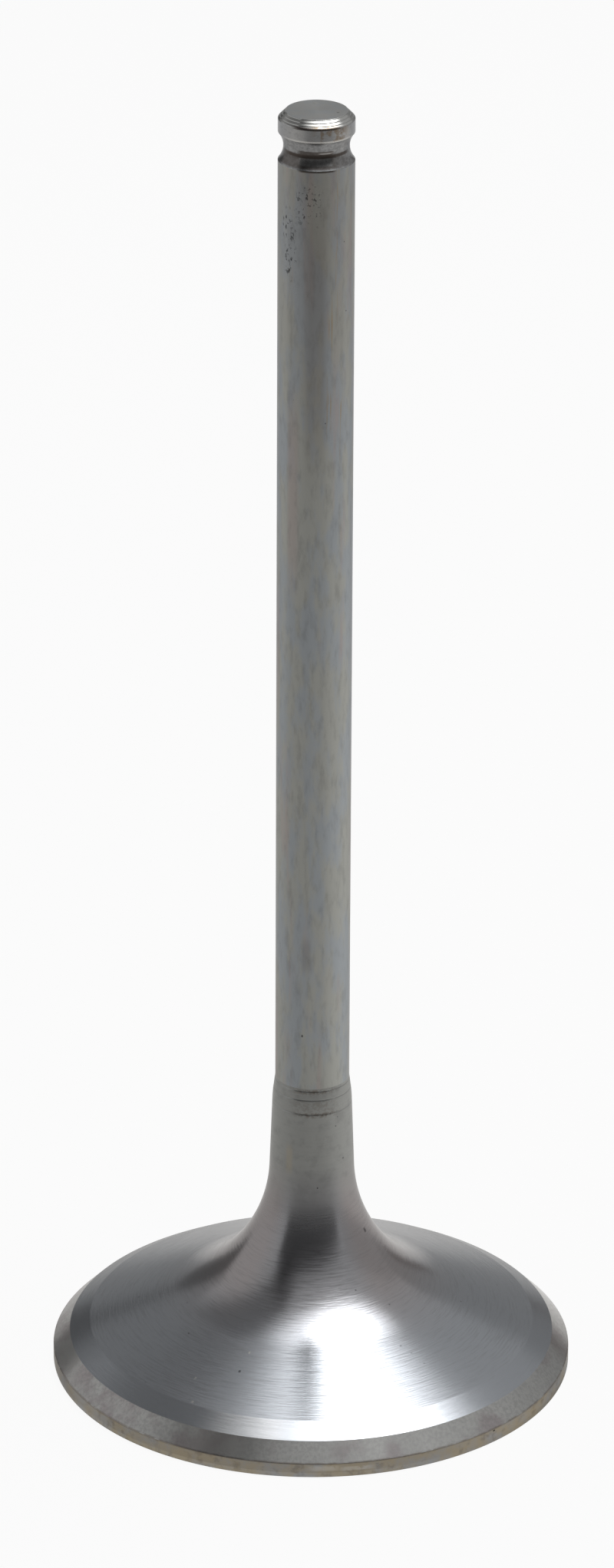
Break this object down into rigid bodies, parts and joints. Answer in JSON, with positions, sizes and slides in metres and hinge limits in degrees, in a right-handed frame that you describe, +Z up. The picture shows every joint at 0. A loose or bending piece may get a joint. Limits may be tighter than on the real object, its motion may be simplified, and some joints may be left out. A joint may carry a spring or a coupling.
{
  "type": "engine intake valve",
  "caption": "Poppet valve for an engine: a flared disc head with a ground angled seat, a slender stem and a round keeper groove near the tip.",
  "frame": {"origin": "centre of the flat combustion face, on the valve's axis, where the valve stands on its head", "axes": "+Z up the stem from the head to the tip; the valve is a body of revolution, so +X and +Y are any two directions square to the stem"},
  "size_m": [0.0492, 0.0492, 0.1257],
  "materials": {
    "steel": "bare valve steel: ground stem and seat, turned and brushed head back, polished tip edge"
  },
  "bodies": {
    "root": {"valve": "steel"}
  },
  "joints": []
}
